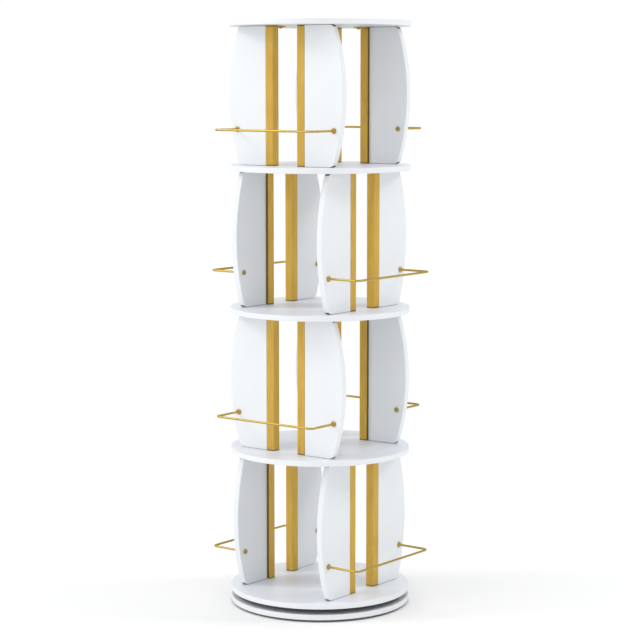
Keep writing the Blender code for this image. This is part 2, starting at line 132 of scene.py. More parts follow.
# Shares of a screw head's, a collar's or a foot's own radius or thickness
DOME_FLAT = 0.5
DOME_SLOPE = 0.6
COLLAR_WAIST = 0.72
CAP_DISH = 0.62
CAP_LIP = 0.74
CAP_SOCKET = 0.6
SOLE_FLAT = 0.5

# The room: radii of the floor's inner rings, then how far up the view turns to the next light
FLOOR_RINGS = (1.6, 0.8)
RING_FADE = (0.12, 0.26)
ROOF_FADE = (0.45, 0.90)

# Degrees round from the right side of the room to the first soft screen, from each screen to
# the next, and from the right side to the two soft boxes
FIRST_SCREEN = 7.5
SCREEN_STEP = 60
LEFT_BOX = -137
RIGHT_BOX = 38


def length(name, description, default):
    """A length in metres that a user can change."""
    return bpy.props.FloatProperty(
        name=name,
        description=description,
        default=default,
        min=0.0,
        precision=4,
        unit="LENGTH",
    )


def colour(name, description, default):
    """A colour that a user can change."""
    return bpy.props.FloatVectorProperty(
        name=name,
        description=description,
        default=default,
        size=3,
        min=0.0,
        max=1.0,
        subtype="COLOR",
    )


class BookcaseSizes(bpy.types.PropertyGroup):
    """Sizes of the bookcase's pieces"""

    fit_gap: length("Fit gap", "Gap between pieces that touch", 0.0003)
    shelf_radius: length("Shelf radius", "Radius of the shelves and the plate", SHELF_HIGH.x)
    rim_rounding: length("Rim rounding", "Rounding of the shelves' rims", 0.0017)
    board_bulge: length("Board bulge", "How far a board's outer edge swells at mid height", 0.0276)
    board_corner: length("Board corner", "Rounding of a board's two outer corners", 0.012)
    board_edge: length("Board edge", "Rounding along the edges of a board", 0.0015)
    post_edge: length("Post edge", "Rounding along the edges of a post", 0.0012)
    # The band at each end of a post that carries painted contact shade.
    post_end: length("Post end", "How far up the bare ends of a post show", 0.0024)
    tab_length: length("Tab length", "How far a tab stands out from its post", 0.030)
    tab_width: length("Tab width", "Width of a tab", 0.016)
    tab_corner: length("Tab corner", "Rounding of a tab's two corners", 0.004)
    tab_root: length("Tab root", "Thickness of a tab at its post", 0.0042)
    tab_end: length("Tab end", "Thickness of a tab at its tip", 0.0026)
    tab_drop: length("Tab drop", "How far a tab's top lies under its post's top", 0.0002)
    tab_screw_inset: length("Tab screw inset", "From a tab's tip to its screw", 0.010)
    tab_screw_head: length("Tab screw head", "Radius of the head of a tab's screw", 0.0035)
    tab_screw_rise: length("Tab screw rise", "Thickness of the head of a tab's screw", 0.0018)
    tab_screw_shank: length("Tab screw shank", "Radius of the shank of a tab's screw", 0.0015)
    pin_radius: length("Pin radius", "Radius of the pins in the ends of boards and posts", 0.003)
    pin_length: length("Pin length", "How far a pin goes into a shelf", 0.008)
    pin_chamfer: length("Pin chamfer", "Chamfer at the tip of a pin", 0.0008)
    rod_radius: length("Rod radius", "Radius of the rails' rod", 0.0025)
    rail_bend: length("Rail bend", "Radius of a rail's two bends", 0.011)
    stud_radius: length("Stud radius", "Radius of the stud at a rail's end", 0.002)
    collar_radius: length("Collar radius", "Radius of the collar on a rail's leg", 0.0064)
    collar_rim: length("Collar rim", "Thickness of the collar at its rim", 0.0014)
    collar_neck: length("Collar neck", "Depth of the collar's neck in front of its rim", 0.0034)
    cap_radius: length("Cap radius", "Radius of a cap screw's head", 0.0055)
    cap_thickness: length("Cap thickness", "Thickness of a cap screw's head", 0.003)
    cap_rounding: length("Cap rounding", "Rounding of a cap screw's head", 0.0009)
    cap_shank: length("Cap shank", "Length of a cap screw's shank in the board", 0.005)
    cap_socket: length("Cap socket", "Width over the corners of a cap screw's key socket", 0.0052)
    track_radius: length("Track radius", "Radius of the circle that the balls run on", 0.090)
    ball_radius: length("Ball radius", "Radius of a bearing ball", 0.0025)
    lower_flange: length("Lower flange", "From the track to the lower race's inside", 0.020)
    upper_flange: length("Upper flange", "From the track to the upper race's inside", 0.008)
    cage_half_width: length("Cage half width", "Half the width of the ball cage", 0.006)
    cage_thickness: length("Cage thickness", "Thickness of the ball cage", 0.001)
    screw_head: length("Screw head", "Radius of a bearing screw's head", 0.0036)
    screw_shank: length("Screw shank", "Radius of a bearing screw's shank", 0.0018)
    screw_sink: length("Screw sink", "Depth of a bearing screw's countersunk head", 0.002)
    screw_socket: length("Screw socket", "Width over the corners of a black screw's socket", 0.0026)
    foot_radius: length("Foot radius", "Radius of a foot", 0.014)
    foot_height: length("Foot height", "Height of the foot below the plate", 0.005)
    foot_peg: length("Foot peg", "Radius of the peg that holds the foot", 0.003)


class BookcaseColours(bpy.types.PropertyGroup):
    """Colours of the bookcase's finishes"""

    lacquer: colour("White lacquer", "Boards, shelves and plate", (0.808, 0.833, 0.858))
    # Painted deep shade: a dark tone for the base's undersides and the boards' ends, standing in
    # for the shade that falls there.
    deep_shade_tone: colour("Backing", "Unlacquered undersides of the base", (0.110, 0.106, 0.100))
    lacquer_cloud: colour("Lacquer cloud", "Faint clouds in the white", (0.790, 0.815, 0.841))
    # Painted light: a cooler copy of the lacquer for the shelves' upper faces.
    cool_lacquer: colour("Cool lacquer", "Upper faces of the shelves", (0.808, 0.844, 0.905))
    # Painted shade: a greyer copy of the lacquer for the shelves' undersides.
    thin_lacquer: colour("Thin lacquer", "Undersides of the shelves", (0.620, 0.638, 0.650))
    gold_coat: colour("Gold lacquer", "Posts", (0.662, 0.424, 0.072))
    gold_coat_streak: colour("Gold streak", "Streaks along the posts", (0.520, 0.314, 0.044))
    # Painted shade: a dark gold for a post's ends and its side to the board, where shade falls.
    bare_post: colour("Bare post", "A post's ends and its side to the board", (0.260, 0.170, 0.035))
    gold_metal: colour("Gold metal", "Rails", (0.520, 0.370, 0.085))
    # A darker gold for the rails' collars and studs.
    aged_gold: colour("Aged gold", "Collars on the rails", (0.490, 0.300, 0.075))
    bronze: colour("Bronze", "Cap screws", (0.465, 0.390, 0.165))
    steel: colour("Bearing steel", "Races and balls", (0.560, 0.570, 0.580))
    black_steel: colour("Black steel", "Screws and cage", (0.055, 0.056, 0.060))
    rubber: colour("Rubber", "Feet", (0.022, 0.022, 0.023))


class StudioSetup(bpy.types.PropertyGroup):
    """The floor, the lights and the camera"""

    floor_radius: length("Floor radius", "Radius of the floor", 3.0)
    floor_colour: colour("Floor", "Colour of the floor", (0.940, 0.944, 0.948))
    lens: bpy.props.FloatProperty(
        name="Lens", description="Focal length", default=111.7, unit="CAMERA"
    )
    camera_place: bpy.props.FloatVectorProperty(
        name="Camera place",
        description="Where the camera stands",
        default=(2.673, -3.489, 1.166),
        subtype="TRANSLATION",
    )
    camera_aim: bpy.props.FloatVectorProperty(
        name="Camera aim",
        description="The point that the camera looks at",
        default=(0.0, 0.0, 0.6371),
        subtype="TRANSLATION",
    )
    ring_light: bpy.props.FloatProperty(
        name="Ring", description="Light of the pale ring at eye height", default=1.01
    )
    roof_light: bpy.props.FloatProperty(
        name="Roof", description="Light of the soft screen overhead", default=1.10
    )
    screens: bpy.props.FloatVectorProperty(
        name="Screens",
        description="Light of the six soft screens, anticlockwise from the right",
        default=(0.49, 0.305, 0.91, 0.305, 1.50, 0.95),
        size=6,
        min=0.0,
    )
    left_box: bpy.props.FloatProperty(
        name="Left soft box", description="Power of the soft box at the front left", default=38.0
    )
    right_box: bpy.props.FloatProperty(
        name="Right soft box", description="Power of the soft box at the back right", default=41.5
    )
    box_size: length("Soft box size", "Side of each soft box", 1.2)
    box_distance: length("Soft box distance", "From the bookcase's middle to each soft box", 4.5)
    box_rise: bpy.props.FloatProperty(
        name="Soft box rise",
        description="How steeply each soft box shines down",
        default=math.radians(36),
        subtype="ANGLE",
    )


# Shapes


def polar(radius, angle, height=0.0):
    return Vector((radius * math.cos(angle), radius * math.sin(angle), height))


def rounded(corners, steps, closed=False):
    """Points along a line through (across, up, rounding) corners, each rounded by an arc."""
    points = []
    for index, (across, up, rounding) in enumerate(corners):
        here = Vector((across, up, 0.0))
        at_end = not closed and index in (0, len(corners) - 1)
        if at_end or not rounding:
            points.append((across, up))
            continue
        back = (Vector((*corners[index - 1][:2], 0.0)) - here).normalized()
        ahead = (Vector((*corners[(index + 1) % len(corners)][:2], 0.0)) - here).normalized()
        half = back.angle(ahead) / 2
        centre = here + (back + ahead).normalized() * rounding / math.sin(half)
        first = here + back * rounding / math.tan(half) - centre
        last = here + ahead * rounding / math.tan(half) - centre
        for step in range(steps + 1):
            point = centre + rounding * first.slerp(last, step / steps)
            points.append((point.x, point.y))
    return points


def mesh_from(bm, name):
    bmesh.ops.recalc_face_normals(bm, faces=bm.faces)
    mesh = bpy.data.meshes.new(name)
    bm.to_mesh(mesh)
    bm.free()
    return mesh


def skin(name, rings, closed=False):
    """A skin over rings of points, filled at both ends unless the last ring meets the first."""
    bm = bmesh.new()
    loops = [[bm.verts.new(point) for point in ring] for ring in rings]
    pairs = list(zip(loops, loops[1:]))
    if closed:
        pairs.append((loops[-1], loops[0]))
    else:
        bm.faces.new(loops[0])
        bm.faces.new(loops[-1])
    for near, far in pairs:
        for index, _ in enumerate(near):
            after = (index + 1) % len(near)
            bm.faces.new((near[index], near[after], far[after], far[index]))
    return mesh_from(bm, name)


def turned(name, outline, steps, closed=False):
    """A shape turned about the upright axis from (radius, height) points."""
    angles = [2 * math.pi * step / steps for step in range(steps)]
    rings = [[polar(radius, angle, height) for angle in angles] for radius, height in outline]
    return skin(name, rings, closed)


def moved(mesh, matrix):
    mesh.transform(matrix)
    return mesh


def gathered(name, meshes):
    """Several meshes in one."""
    bm = bmesh.new()
    for mesh in meshes:
        bm.from_mesh(mesh)
        bpy.data.meshes.remove(mesh)
    return mesh_from(bm, name)


def held(mesh):
    """A plain object that holds a mesh while it is worked on."""
    holder = bpy.data.objects.new(mesh.name, mesh)
    bpy.context.scene.collection.objects.link(holder)
    return holder


def worked(mesh, kind, **settings):
    """The mesh as a modifier leaves it."""
    holder = held(mesh)
    modifier = holder.modifiers.new(kind.title(), kind)
    for setting, value in settings.items():
        setattr(modifier, setting, value)
    bpy.context.view_layer.update()
    graph = bpy.context.evaluated_depsgraph_get()
    made = bpy.data.meshes.new_from_object(holder.evaluated_get(graph))
    name = mesh.name
    bpy.data.objects.remove(holder)
    bpy.data.meshes.remove(mesh)
    made.name = name
    return made


def combined(mesh, other, operation):
    """The mesh with another one joined to it or cut out of it."""
    holder = held(other)
    made = worked(mesh, "BOOLEAN", operation=operation, solver="EXACT", object=holder)
    bpy.data.objects.remove(holder)
    bpy.data.meshes.remove(other)
    return made


def peg_mesh(radius, low, high, steps=TURNED_STEPS, chamfer=0.0):
    """An upright peg between two heights, with a chamfer at its top."""
    outline = [(radius, low), (radius, high - chamfer)]
    if chamfer:
        outline.append((radius - chamfer, high))
    return turned("peg", outline, steps)


def socketed(name, outline, width, depth):
    """A screw turned from its outline, which points up, with a key socket in its head."""
    socket = peg_mesh(width / 2, -CUT_OVERSHOOT, depth, SOCKET_SIDES)
    return combined(turned(name, outline, TURNED_STEPS), socket, "DIFFERENCE")


def eased(mesh, rounding):
    """The mesh with its sharp edges rounded over."""
    return worked(
        mesh,
        "BEVEL",
        width=rounding,
        segments=4,
        limit_method="ANGLE",
        angle_limit=SHARP_ANGLE,
        use_clamp_overlap=False,
    )


def finished(mesh, finish):
    """The mesh, smooth over its roundings and flat on its flats, in its finish."""
    mesh.shade_smooth()
    mesh.set_sharp_from_angle(angle=SHARP_ANGLE)
    made = worked(mesh, "WEIGHTED_NORMAL", keep_sharp=True)
    made.materials.clear()
    made.materials.append(finish)
    return made


def partly(mesh, finish, chosen):
    """Gives another finish to the faces for which chosen(face) holds."""
    mesh.materials.append(finish)
    for face in mesh.polygons:
        if chosen(face):
            face.material_index = len(mesh.materials) - 1


def looks_down(face):
    return face.normal.z < -FLAT_FACING


def looks_up(face):
    return face.normal.z > FLAT_FACING


def put(name, mesh, body, nodes, place=(0.0, 0.0, 0.0), turn=0.0):
    """Places a piece that rides on a body and stands for its CAD nodes."""
    piece = bpy.data.objects.new(name, mesh)
    bpy.context.scene.collection.objects.link(piece)
    piece.matrix_world = Matrix.Translation(place) @ Matrix.Rotation(turn, 4, "Z")
    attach(piece, body)
    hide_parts(*nodes)
    return piece


# Places in the tiers


def tier_floor(tier):
    """Height of the shelf that a tier stands on."""
    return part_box(SHELF_NODES[tier])[1].z


def upright_height(sizes):
    """Height of a board or a post, which all the tiers share."""
    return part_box(SHELF_NODES[1])[0].z - tier_floor(0) - 2 * sizes.fit_gap


def screens():
    """(tier, side) of each screen: neighbouring tiers are a quarter turn apart."""
    for tier in range(TIER_COUNT):
        for side in (tier % 2, tier % 2 + 2):
            yield tier, side


def halves():
    """(tier, side, half, name) of each half of a screen. half is 1 or -1 along the screen."""
    for tier, side in screens():
        for half in (1, -1):
            yield tier, side, half, f"{tier + 1}_{SIDE_NAMES[side]}_{SIDE_NAMES[(side + half) % 4]}"


def on_screen(side, offset, along, height=0.0):
    """A point given by its distance from the axis and its place along a screen."""
    return Matrix.Rotation(side * QUARTER, 4, "Z") @ Vector((offset, along, height))


def board_middle():
    return (BOARD_LOW.x + BOARD_HIGH.x) / 2


def post_middle():
    return (POST_LOW.x + POST_HIGH.x) / 2


def post_centre():
    return (POST_LOW.y + POST_HIGH.y) / 2


def dowel_centre(sizes):
    return (BOARD_LOW.y + BOARD_HIGH.y - sizes.board_bulge) / 2


def rail_leg(sizes):
    """Where a rail's leg meets its board, measured along the screen."""
    return RAIL_HIGH.y - sizes.collar_radius


def rail_height():
    """Height of a rail's rod above its tier's shelf."""
    return (RAIL_LOW.z + RAIL_HIGH.z) / 2 - tier_floor(0)


def put_halves(prefix, mesh, solid, offset, along, lift):
    """A piece on each half of each screen. The second half is the first one turned round."""
    for tier, side, half, name in halves():
        place = on_screen(side, offset, half * along, tier_floor(tier) + lift)
        turn = side * QUARTER + (0.0 if half == 1 else math.pi)
        put(prefix + name, mesh, "carousel", [solid + name], place, turn)


# Finishes


def node(tree, kind, inputs=(), **settings):
    """Adds a node. inputs gives its sockets a value or a link, by their name or number."""
    made = tree.nodes.new(kind)
    for setting, value in settings.items():
        setattr(made, setting, value)
    for socket, value in dict(inputs).items():
        if isinstance(value, bpy.types.NodeSocket):
            tree.links.new(value, made.inputs[socket])
        else:
            made.inputs[socket].default_value = value
    return made


def own_space(tree, stretch=(1.0, 1.0, 1.0)):
    """The piece's own space in metres, shifted so that no two pieces look the same."""
    space = node(tree, "ShaderNodeTexCoord").outputs["Object"]
    chance = node(tree, "ShaderNodeObjectInfo").outputs["Random"]
    shift = node(tree, "ShaderNodeMath", {0: chance, 1: 7.0}, operation="MULTIPLY")
    shifted = node(tree, "ShaderNodeVectorMath", {0: space, 1: shift.outputs[0]}, operation="ADD")
    scaled = node(
        tree, "ShaderNodeVectorMath", {0: shifted.outputs[0], 1: stretch}, operation="MULTIPLY"
    )
    return scaled.outputs[0]


def grain(tree, space, scale, detail=2.0):
    """Soft noise from 0 to 1."""
    inputs = {"Vector": space, "Scale": scale, "Detail": detail, "Roughness": 0.55}
    return node(tree, "ShaderNodeTexNoise", inputs).outputs["Fac"]


def sharpened(tree, field, low, high):
    """A field stretched so that low becomes 0 and high becomes 1."""
    inputs = {"Value": field, "From Min": low, "From Max": high}
    return node(tree, "ShaderNodeMapRange", inputs).outputs["Result"]


def ranged(tree, field, least, most):
    """A field from 0 to 1 turned into one from least to most."""
    inputs = {"Value": field, "To Min": least, "To Max": most}
    return node(tree, "ShaderNodeMapRange", inputs).outputs["Result"]


def blended(tree, field, first, second):
    """The first colour where the field is 0, the second where it is 1."""
    inputs = {0: field, 6: (*first, 1.0), 7: (*second, 1.0)}
    return node(tree, "ShaderNodeMix", inputs, data_type="RGBA").outputs[2]


def relief(tree, field, depth):
    """A bump whose high spots stand depth metres over its low ones."""
    inputs = {"Height": field, "Strength": 1.0, "Distance": depth}
    return node(tree, "ShaderNodeBump", inputs).outputs["Normal"]


def new_finish(name, **values):
    """A material and its shader, with the values that are the same all over it."""
    finish = bpy.data.materials.new(name)
    finish.use_nodes = True
    shader = finish.node_tree.nodes["Principled BSDF"]
    for socket, value in values.items():
        shader.inputs[socket.replace("_", " ")].default_value = value
    return finish, finish.node_tree, shader


def wire(tree, shader, **fields):
    for socket, field in fields.items():
        tree.links.new(field, shader.inputs[socket.replace("_", " ")])


def sprayed(name, colour, cloud):
    """Sprayed satin lacquer: faint clouds, and a fine orange peel in its gloss."""
    finish, tree, shader = new_finish(name, IOR=1.46)
    clouds = sharpened(tree, grain(tree, own_space(tree), 7.0), 0.35, 0.65)
    peel = grain(tree, own_space(tree), 420.0)
    wire(
        tree,
        shader,
        Base_Color=blended(tree, clouds, colour, cloud),
        Roughness=ranged(tree, grain(tree, own_space(tree), 55.0), 0.34, 0.50),
        Normal=relief(tree, peel, 0.00006),
    )
    return finish


def white_lacquer(colours):
    return sprayed("white_lacquer", colours.lacquer, colours.lacquer_cloud)


def cool_lacquer(colours):
    """Painted light: the shelves' upper faces, tinted a little cooler for the cool light on them,
    against the warm light from the gold posts.
    """
    cloud = [0.98 * part for part in colours.cool_lacquer]
    return sprayed("cool_lacquer", colours.cool_lacquer, cloud)


def thin_lacquer(colours):
    """Painted shade: a greyer coat on the shelves' undersides, standing in for the shade under
    them.
    """
    cloud = [0.94 * part for part in colours.thin_lacquer]
    return sprayed("thin_lacquer", colours.thin_lacquer, cloud)


def speckled(name, colour, paler, noise, spread, rough, depth, **values):
    """A fine speckle that changes the colour, the gloss and the relief alike."""
    finish, tree, shader = new_finish(name, **values)
    speckle = sharpened(tree, grain(tree, own_space(tree), *noise), *spread)
    wire(
        tree,
        shader,
        Base_Color=blended(tree, speckle, colour, [paler * part for part in colour]),
        Roughness=ranged(tree, speckle, *rough),
        Normal=relief(tree, speckle, depth),
    )
    return finish


def bare_backing(colours):
    """Painted deep shade: a dark finish with a fine fibrous mottle, for the shade under the base
    and in the boards' corner wedges.
    """
    noise, spread, rough = (700.0, 4.0), (0.35, 0.65), (0.70, 0.90)
    return speckled(
        "bare_backing", colours.deep_shade_tone, 1.5, noise, spread, rough, 0.00004, IOR=1.45
    )


def streaked(name, streak, colour):
    """Satin gold lacquer over wood: fine streaks along the post and a soft mottle."""
    finish, tree, shader = new_finish(name, Metallic=0.45, IOR=1.45)
    streaks = grain(tree, own_space(tree, (1.0, 1.0, 0.035)), 420.0, 3.0)
    mottle = grain(tree, own_space(tree, (1.0, 1.0, 0.35)), 60.0)
    mixed = node(tree, "ShaderNodeMix", {0: 0.35, 2: streaks, 3: mottle}).outputs[0]
    wire(
        tree,
        shader,
        Base_Color=blended(tree, sharpened(tree, mixed, 0.33, 0.67), streak, colour),
        Roughness=ranged(tree, streaks, 0.30, 0.48),
        Normal=relief(tree, streaks, 0.00008),
    )
    return finish


def gold_lacquer(colours):
    return streaked("gold_lacquer", colours.gold_coat_streak, colours.gold_coat)


def bare_post(colours):
    """Painted shade: a dark gold on a post's ends and on its side to the board, for the shade where
    it meets the shelves and the board.
    """
    streak = [0.7 * part for part in colours.bare_post]
    return streaked("bare_post", streak, colours.bare_post)


def plated(name, bright):
    """Plated metal with a faint dull mottle and fine wiping marks."""
    finish, tree, shader = new_finish(name, Metallic=1.0)
    dull = sharpened(tree, grain(tree, own_space(tree), 160.0, 4.0), 0.30, 0.80)
    duller = [0.84 * part for part in bright]
    wire(
        tree,
        shader,
        Base_Color=blended(tree, dull, bright, duller),
        Roughness=ranged(tree, dull, 0.30, 0.38),
        Normal=relief(tree, grain(tree, own_space(tree), 900.0), 0.000006),
    )
    return finish


def gold_metal(colours):
    return plated("gold_metal", colours.gold_metal)


# A darker gold for the rails' collars and studs.
def aged_gold(colours):
    return plated("aged_gold", colours.aged_gold)


def bronze(colours):
    return plated("bronze", colours.bronze)


def ringed_steel(colours):
    """Steel turned on a lathe: fine rings about the axis."""
    finish, tree, shader = new_finish("bearing_steel", Metallic=1.0)
    across = node(tree, "ShaderNodeTexCoord").outputs["Object"]
    inputs = {"Vector": across, "Scale": 260.0, "Distortion": 0.4, "Detail": 2.0}
    rings = node(
        tree, "ShaderNodeTexWave", inputs, wave_type="RINGS", rings_direction="Z"
    ).outputs["Fac"]
    darker = [0.8 * part for part in colours.steel]
    wire(
        tree,
        shader,
        Base_Color=blended(tree, rings, darker, colours.steel),
        Roughness=ranged(tree, grain(tree, own_space(tree), 90.0), 0.26, 0.42),
        Normal=relief(tree, rings, 0.00003),
    )
    return finish


def polished_steel(colours):
    """Ground balls, with a faint film of grease."""
    finish, tree, shader = new_finish("polished_steel", Metallic=1.0)
    film = grain(tree, own_space(tree), 500.0)
    darker = [0.85 * part for part in colours.steel]
    wire(
        tree,
        shader,
        Base_Color=blended(tree, film, darker, colours.steel),
        Roughness=ranged(tree, film, 0.10, 0.24),
    )
    return finish


def black_steel(colours):
    """Blackened steel with a speckle of wear."""
    noise, spread, rough = (900.0, 4.0), (0.45, 0.75), (0.40, 0.56)
    return speckled(
        "black_steel", colours.black_steel, 2.2, noise, spread, rough, 0.00002, Metallic=0.85
    )


def rubber(colours):
    """Moulded rubber with a fine pebble."""
    noise, spread, rough = (1100.0, 2.0), (0.0, 1.0), (0.68, 0.86)
    return speckled("foot_rubber", colours.rubber, 1.8, noise, spread, rough, 0.00008, IOR=1.5)


FINISHES = {
    maker.__name__: maker
    for maker in (
        white_lacquer,
        cool_lacquer,
        thin_lacquer,
        bare_backing,
        gold_lacquer,
        bare_post,
        gold_metal,
        aged_gold,
        bronze,
        ringed_steel,
        polished_steel,
        black_steel,
        rubber,
    )
}


def finish_of(context, name):
    """A finish, made the first time that a piece asks for it."""
    made = context.scene.get("bookcase_finish_" + name)
    if made is None:
        made = FINISHES[name](context.scene.bookcase_colours)
        context.scene["bookcase_finish_" + name] = made
    return made


# Shelves and base plate


def rim_outline(radius, thickness, rounding):
    """Half the section of a round board with rounded rims."""
    inner = radius - 3 * rounding
    corners = [
        (inner, 0.0, 0.0),
        (radius, 0.0, rounding),
        (radius, thickness, rounding),
        (inner, thickness, 0.0),
    ]
    return rounded(corners, ROUNDING_STEPS)


def round_board(name, sizes, thickness):
    outline = rim_outline(sizes.shelf_radius, thickness, sizes.rim_rounding)
    return turned(name, outline, RIM_STEPS)


def pin_holes(sizes, tier, low, high):
    """Cutters for the holes of a tier's pins in one shelf."""
    radius = sizes.pin_radius + sizes.fit_gap
    for place_tier, side, half, _ in halves():
        if place_tier == tier:
            for offset, along in (
                (board_middle(), dowel_centre(sizes)),
                (post_middle(), post_centre()),
            ):
                spot = on_screen(side, offset, half * along)
                yield moved(peg_mesh(radius, low, high), Matrix.Translation(spot))


def tab_screw_holes(sizes):
    """Cutters for the holes of the tabs' screws in the top panel."""
    radius = sizes.tab_screw_shank + sizes.fit_gap
    offset = post_middle() + tab_screw_place(sizes).x
    for tier, side, half, _ in halves():
        if tier == TIER_COUNT - 1:
            spot = on_screen(side, offset, half * post_centre())
            peg = peg_mesh(radius, -CUT_OVERSHOOT, sizes.pin_length)
            yield moved(peg, Matrix.Translation(spot))


class BOOKCASE_OT_shelves(bpy.types.Operator):
    """Makes the four round shelves and the top panel, with the holes for the pins"""

    bl_idname = "bookcase.shelves"
    bl_label = "Shelves and top panel"
    bl_options = {"REGISTER", "UNDO"}

    def execute(self, context):
        sizes = context.scene.bookcase_sizes
        finish = finish_of(context, "white_lacquer")
        for level, name in enumerate(SHELF_NODES):
            low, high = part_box(name)
            thickness = high.z - low.z
            holes = []
            if level > 0:
                holes += pin_holes(sizes, level - 1, -CUT_OVERSHOOT, sizes.pin_length)
            if level < TIER_COUNT:
                holes += pin_holes(
                    sizes, level, thickness - sizes.pin_length, thickness + CUT_OVERSHOOT
                )
            if level == TIER_COUNT:
                holes += tab_screw_holes(sizes)
            mesh = round_board(name + "_board", sizes, thickness)
            mesh = combined(mesh, gathered("pin_holes", holes), "DIFFERENCE")
            mesh = finished(mesh, finish)
            # Painted shade: the undersides take a greyer lacquer, and the base shelf's underside a
            # dark one, for the shade under them.
            under = "thin_lacquer" if level else "bare_backing"
            partly(mesh, finish_of(context, under), looks_down)
            # Painted light: the upper faces take a cooler copy of the lacquer, for the cool light
            # on them.
            if level < TIER_COUNT:
                partly(mesh, finish_of(context, "cool_lacquer"), looks_up)
            put(name + "_board", mesh, "carousel", [name], (0.0, 0.0, low.z))
        return {"FINISHED"}


class BOOKCASE_OT_base_plate(bpy.types.Operator):
    """Makes the round plate that stands still on the floor"""

    bl_idname = "bookcase.base_plate"
    bl_label = "Base plate"
    bl_options = {"REGISTER", "UNDO"}

    def execute(self, context):
        sizes = context.scene.bookcase_sizes
        low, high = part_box("base_plate")
        mesh = round_board("standing_plate", sizes, high.z - low.z)
        mesh = finished(mesh, finish_of(context, "white_lacquer"))
        # Painted shade: the plate's underside is dark, for the shadow under the plate.
        partly(mesh, finish_of(context, "bare_backing"), looks_down)
        put("standing_plate", mesh, "base", ["base_plate"], (0.0, 0.0, low.z))
        return {"FINISHED"}


# Boards


def board_outline(sizes):
    """(along, up) points round a half board: a bulged outer edge between two rounded corners."""
    height = upright_height(sizes)
    half = height / 2
    reach = BOARD_HIGH.y
    bulge_radius = (half**2 + sizes.board_bulge**2) / (2 * sizes.board_bulge)
    bulge_centre = reach - bulge_radius
    corner = sizes.board_corner
    corner_centre = bulge_centre + math.sqrt((bulge_radius - corner) ** 2 - (half - corner) ** 2)
    swing = math.atan2(half - corner, corner_centre - bulge_centre)
    outer = []
    for step in range(CORNER_STEPS + 1):
        angle = -QUARTER + (QUARTER - swing) * step / CORNER_STEPS
        outer.append(
            (corner_centre + corner * math.cos(angle), corner + corner * math.sin(angle))
        )
    for step in range(1, BULGE_STEPS // 2 + 1):
        angle = swing * (step / (BULGE_STEPS // 2) - 1)
        outer.append(
            (bulge_centre + bulge_radius * math.cos(angle), half + bulge_radius * math.sin(angle))
        )
    mirrored = [(along, height - up) for along, up in reversed(outer[:-1])]
    return [(BOARD_LOW.y, 0.0), *outer, *mirrored, (BOARD_LOW.y, height)]


def across_board(mesh, along, up):
    """Turns an upright peg to lie across the board's thickness."""
    return moved(mesh, Matrix.Translation((0.0, along, up)) @ Matrix.Rotation(QUARTER, 4, "Y"))


def end_pins(sizes, along):
    """The pins in both ends of a board or a post."""
    height = upright_height(sizes)
    reach = sizes.pin_length
    top = peg_mesh(sizes.pin_radius, height - reach, height + reach, chamfer=sizes.pin_chamfer)
    bottom = peg_mesh(sizes.pin_radius, -reach, reach, chamfer=sizes.pin_chamfer)
    flipped = moved(bottom, Matrix.Scale(-1.0, 4, (0.0, 0.0, 1.0)))
    return moved(gathered("end_pins", [top, flipped]), Matrix.Translation((0.0, along, 0.0)))


def board_mesh(sizes):
    """A half board on its +along side, centred on its thickness."""
    thickness = BOARD_HIGH.x - BOARD_LOW.x
    sides = (-thickness / 2, thickness / 2)
    rings = [[Vector((x, along, up)) for along, up in board_outline(sizes)] for x in sides]
    mesh = eased(skin("half_board", rings), sizes.board_edge)
    mesh = combined(mesh, end_pins(sizes, dowel_centre(sizes)), "UNION")
    hole = peg_mesh(sizes.stud_radius + sizes.fit_gap, -thickness, thickness)
    hole = across_board(hole, rail_leg(sizes), rail_height() - sizes.fit_gap)
    return combined(mesh, hole, "DIFFERENCE")


class BOOKCASE_OT_boards(bpy.types.Operator):
    """Makes the sixteen white half boards with their dowels"""

    bl_idname = "bookcase.boards"
    bl_label = "Half boards"
    bl_options = {"REGISTER", "UNDO"}

    def execute(self, context):
        sizes = context.scene.bookcase_sizes
        mesh = finished(board_mesh(sizes), finish_of(context, "white_lacquer"))
        height = upright_height(sizes)

        # Painted shade: the steep faces at the boards' rounded ends are dark, for the shade in the
        # corner wedges at the shelves.
        def is_end(face):
            at_end = min(face.center.z, height - face.center.z) < sizes.board_corner
            return at_end and abs(face.normal.z) > END_FACING

        partly(mesh, finish_of(context, "bare_backing"), is_end)
        middle = board_middle()
        put_halves("half_board_", mesh, "board_", middle, 0.0, sizes.fit_gap)
        return {"FINISHED"}


# Posts


def post_mesh(sizes):
    """A square post, centred on its axis, with a stud in each end."""
    deep, wide = (POST_HIGH.x - POST_LOW.x) / 2, (POST_HIGH.y - POST_LOW.y) / 2
    section = [(deep, wide), (-deep, wide), (-deep, -wide), (deep, -wide)]
    height = upright_height(sizes)
    levels = (0.0, sizes.post_end, height - sizes.post_end, height)
    rings = [[Vector((x, y, level)) for x, y in section] for level in levels]
    mesh = eased(skin("square_post", rings), sizes.post_edge)
    return combined(mesh, end_pins(sizes, 0.0), "UNION")


class BOOKCASE_OT_posts(bpy.types.Operator):
    """Makes the sixteen square gold posts with their studs"""

    bl_idname = "bookcase.posts"
    bl_label = "Posts"
    bl_options = {"REGISTER", "UNDO"}

    def execute(self, context):
        sizes = context.scene.bookcase_sizes
        mesh = finished(post_mesh(sizes), finish_of(context, "gold_lacquer"))
        height = upright_height(sizes)

        # Painted shade: a post's end bands and its side to the board take a dark gold, for the
        # shade there.
        def in_painted_shade(face):
            at_end = min(face.center.z, height - face.center.z) < sizes.post_end
            return at_end or face.normal.y > SIDE_FACING

        partly(mesh, finish_of(context, "bare_post"), in_painted_shade)
        offset, along = post_middle(), post_centre()
        put_halves("square_post_", mesh, "post_", offset, along, sizes.fit_gap)
        return {"FINISHED"}


# Tabs that hold the top panel


